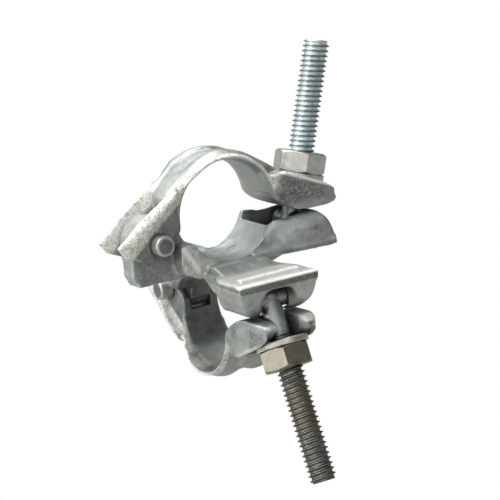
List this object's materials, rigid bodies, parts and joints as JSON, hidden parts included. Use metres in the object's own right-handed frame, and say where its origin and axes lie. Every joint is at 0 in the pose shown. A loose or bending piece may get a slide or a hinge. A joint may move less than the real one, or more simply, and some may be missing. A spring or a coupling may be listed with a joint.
{
  "type": "scaffold coupler clamp",
  "caption": "Forged right-angle scaffold coupler: two crossed tube saddles back to back, each with a hinged cap, a swing T-bolt, washer and nut.",
  "frame": {"origin": "on the lower tube's axis, at the point where the upper tube's axis crosses 54.4 mm above it", "axes": "+X along the lower tube, +Y along the upper tube, +Z from the lower tube to the upper tube"},
  "size_m": [0.1345, 0.1426, 0.1984],
  "materials": {
    "forging": "drop-forged steel, hot-dip galvanised, matte and slightly mottled, trimmed flash edges rough",
    "rivet_steel": "galvanised steel rivet, darker worn ends",
    "zinc_bolt": "bright zinc-plated steel with a faint blue tone, rolled coarse thread",
    "zinc_washer": "galvanised steel, pressed, slightly rough edge",
    "zinc_nut": "zinc-plated forged hexagon, satin"
  },
  "bodies": {
    "coupler": {"coupler_body": "forging", "upper_hinge_rivet": "rivet_steel", "lower_hinge_rivet": "rivet_steel"},
    "upper_cap": {"upper_cap": "forging"},
    "lower_cap": {"lower_cap": "forging"},
    "upper_bolt": {"upper_t_bolt": "zinc_bolt"},
    "lower_bolt": {"lower_t_bolt": "zinc_bolt"},
    "upper_washer": {"upper_washer": "zinc_washer"},
    "lower_washer": {"lower_washer": "zinc_washer"},
    "upper_nut": {"upper_nut": "zinc_nut"},
    "lower_nut": {"lower_nut": "zinc_nut"}
  },
  "joints": [
    {"name": "upper_cap_hinge", "type": "hinge", "parent": "coupler", "child": "upper_cap", "pos_m": [-0.0375, 0, 0.0448], "axis": [0, -1, 0], "range_deg": [0, 44]},
    {"name": "upper_bolt_swing", "type": "hinge", "parent": "coupler", "child": "upper_bolt", "pos_m": [0.0433, 0, 0.0387], "axis": [0, 1, 0], "range_deg": [0, 52.8]},
    {"name": "upper_washer_slide", "type": "slide", "parent": "upper_bolt", "child": "upper_washer", "axis": [0.2807, 0, 0.9598], "range_m": [0, 0.0528]},
    {"name": "upper_nut_spin", "type": "hinge", "parent": "upper_washer", "child": "upper_nut", "pos_m": [0.05088, 0, 0.06462], "axis": [0.2807, 0, 0.9598], "range_deg": [0, 7605.2]},
    {"name": "lower_cap_hinge", "type": "hinge", "parent": "coupler", "child": "lower_cap", "pos_m": [0, 0.0375, 0.0096], "axis": [1, 0, 0], "range_deg": [0, 44]},
    {"name": "lower_bolt_swing", "type": "hinge", "parent": "coupler", "child": "lower_bolt", "pos_m": [0, -0.0433, 0.0157], "axis": [-1, 0, 0], "range_deg": [0, 52.8]},
    {"name": "lower_washer_slide", "type": "slide", "parent": "lower_bolt", "child": "lower_washer", "axis": [0, -0.373, -0.9278], "range_m": [0, 0.0528]},
    {"name": "lower_nut_spin", "type": "hinge", "parent": "lower_washer", "child": "lower_nut", "pos_m": [0, -0.05337, -0.00935], "axis": [0, -0.373, -0.9278], "range_deg": [0, 7605.2]}
  ],
  "couplings": [
    {"joint": "upper_bolt_swing", "follows": "upper_cap_hinge", "ratio": 1.2},
    {"joint": "upper_washer_slide", "follows": "upper_cap_hinge", "m_per_rad": 0.068755},
    {"joint": "upper_nut_spin", "follows": "upper_cap_hinge", "ratio": 172.8},
    {"joint": "lower_bolt_swing", "follows": "lower_cap_hinge", "ratio": 1.2},
    {"joint": "lower_washer_slide", "follows": "lower_cap_hinge", "m_per_rad": 0.068755},
    {"joint": "lower_nut_spin", "follows": "lower_cap_hinge", "ratio": 172.8}
  ]
}
